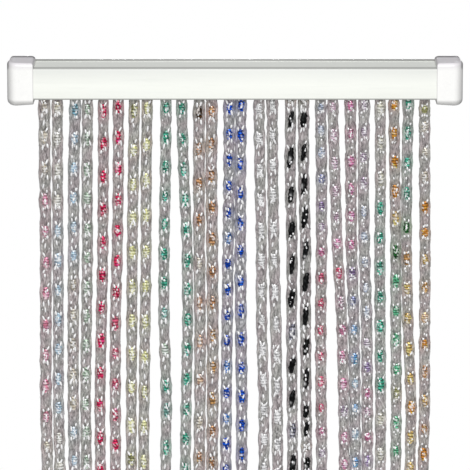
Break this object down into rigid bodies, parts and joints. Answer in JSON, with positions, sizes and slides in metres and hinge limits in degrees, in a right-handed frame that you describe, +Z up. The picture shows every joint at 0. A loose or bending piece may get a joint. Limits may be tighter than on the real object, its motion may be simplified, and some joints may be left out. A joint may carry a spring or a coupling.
{
  "type": "pvc strip curtain with head rail",
  "caption": "Door curtain of knitted clear film cords with coloured foil knots, hung in pairs from a white capped head rail that fixes to a wall.",
  "frame": {"origin": "on the head rail's flat back, which lies on the wall, at mid length and half way up its channel", "axes": "+Z up, +Y into the wall, the curtain faces -Y, +X to the right as seen from the front"},
  "size_m": [0.9, 0.054, 2],
  "materials": {
    "rail_white": "smooth white extruded plastic, satin, faintly green",
    "cap_white": "smooth white moulded plastic, satin",
    "clear_film": "knitted strips of clear film that look warm grey together, glossy",
    "colour_foil": "glossy coloured metallic foil wound round each knot"
  },
  "bodies": {
    "root": {"head_rail": "rail_white", "end_cap_left": "cap_white", "end_cap_right": "cap_white", "cord_pair_01": "clear_film", "cord_pair_02": "clear_film", "cord_pair_03": "clear_film", "cord_pair_04": "clear_film", "cord_pair_05": "clear_film", "cord_pair_06": "clear_film", "cord_pair_07": "clear_film", "cord_pair_08": "clear_film", "cord_pair_09": "clear_film", "cord_pair_10": "clear_film", "cord_pair_11": "clear_film", "cord_pair_12": "clear_film", "cord_pair_13": "clear_film"}
  },
  "joints": []
}
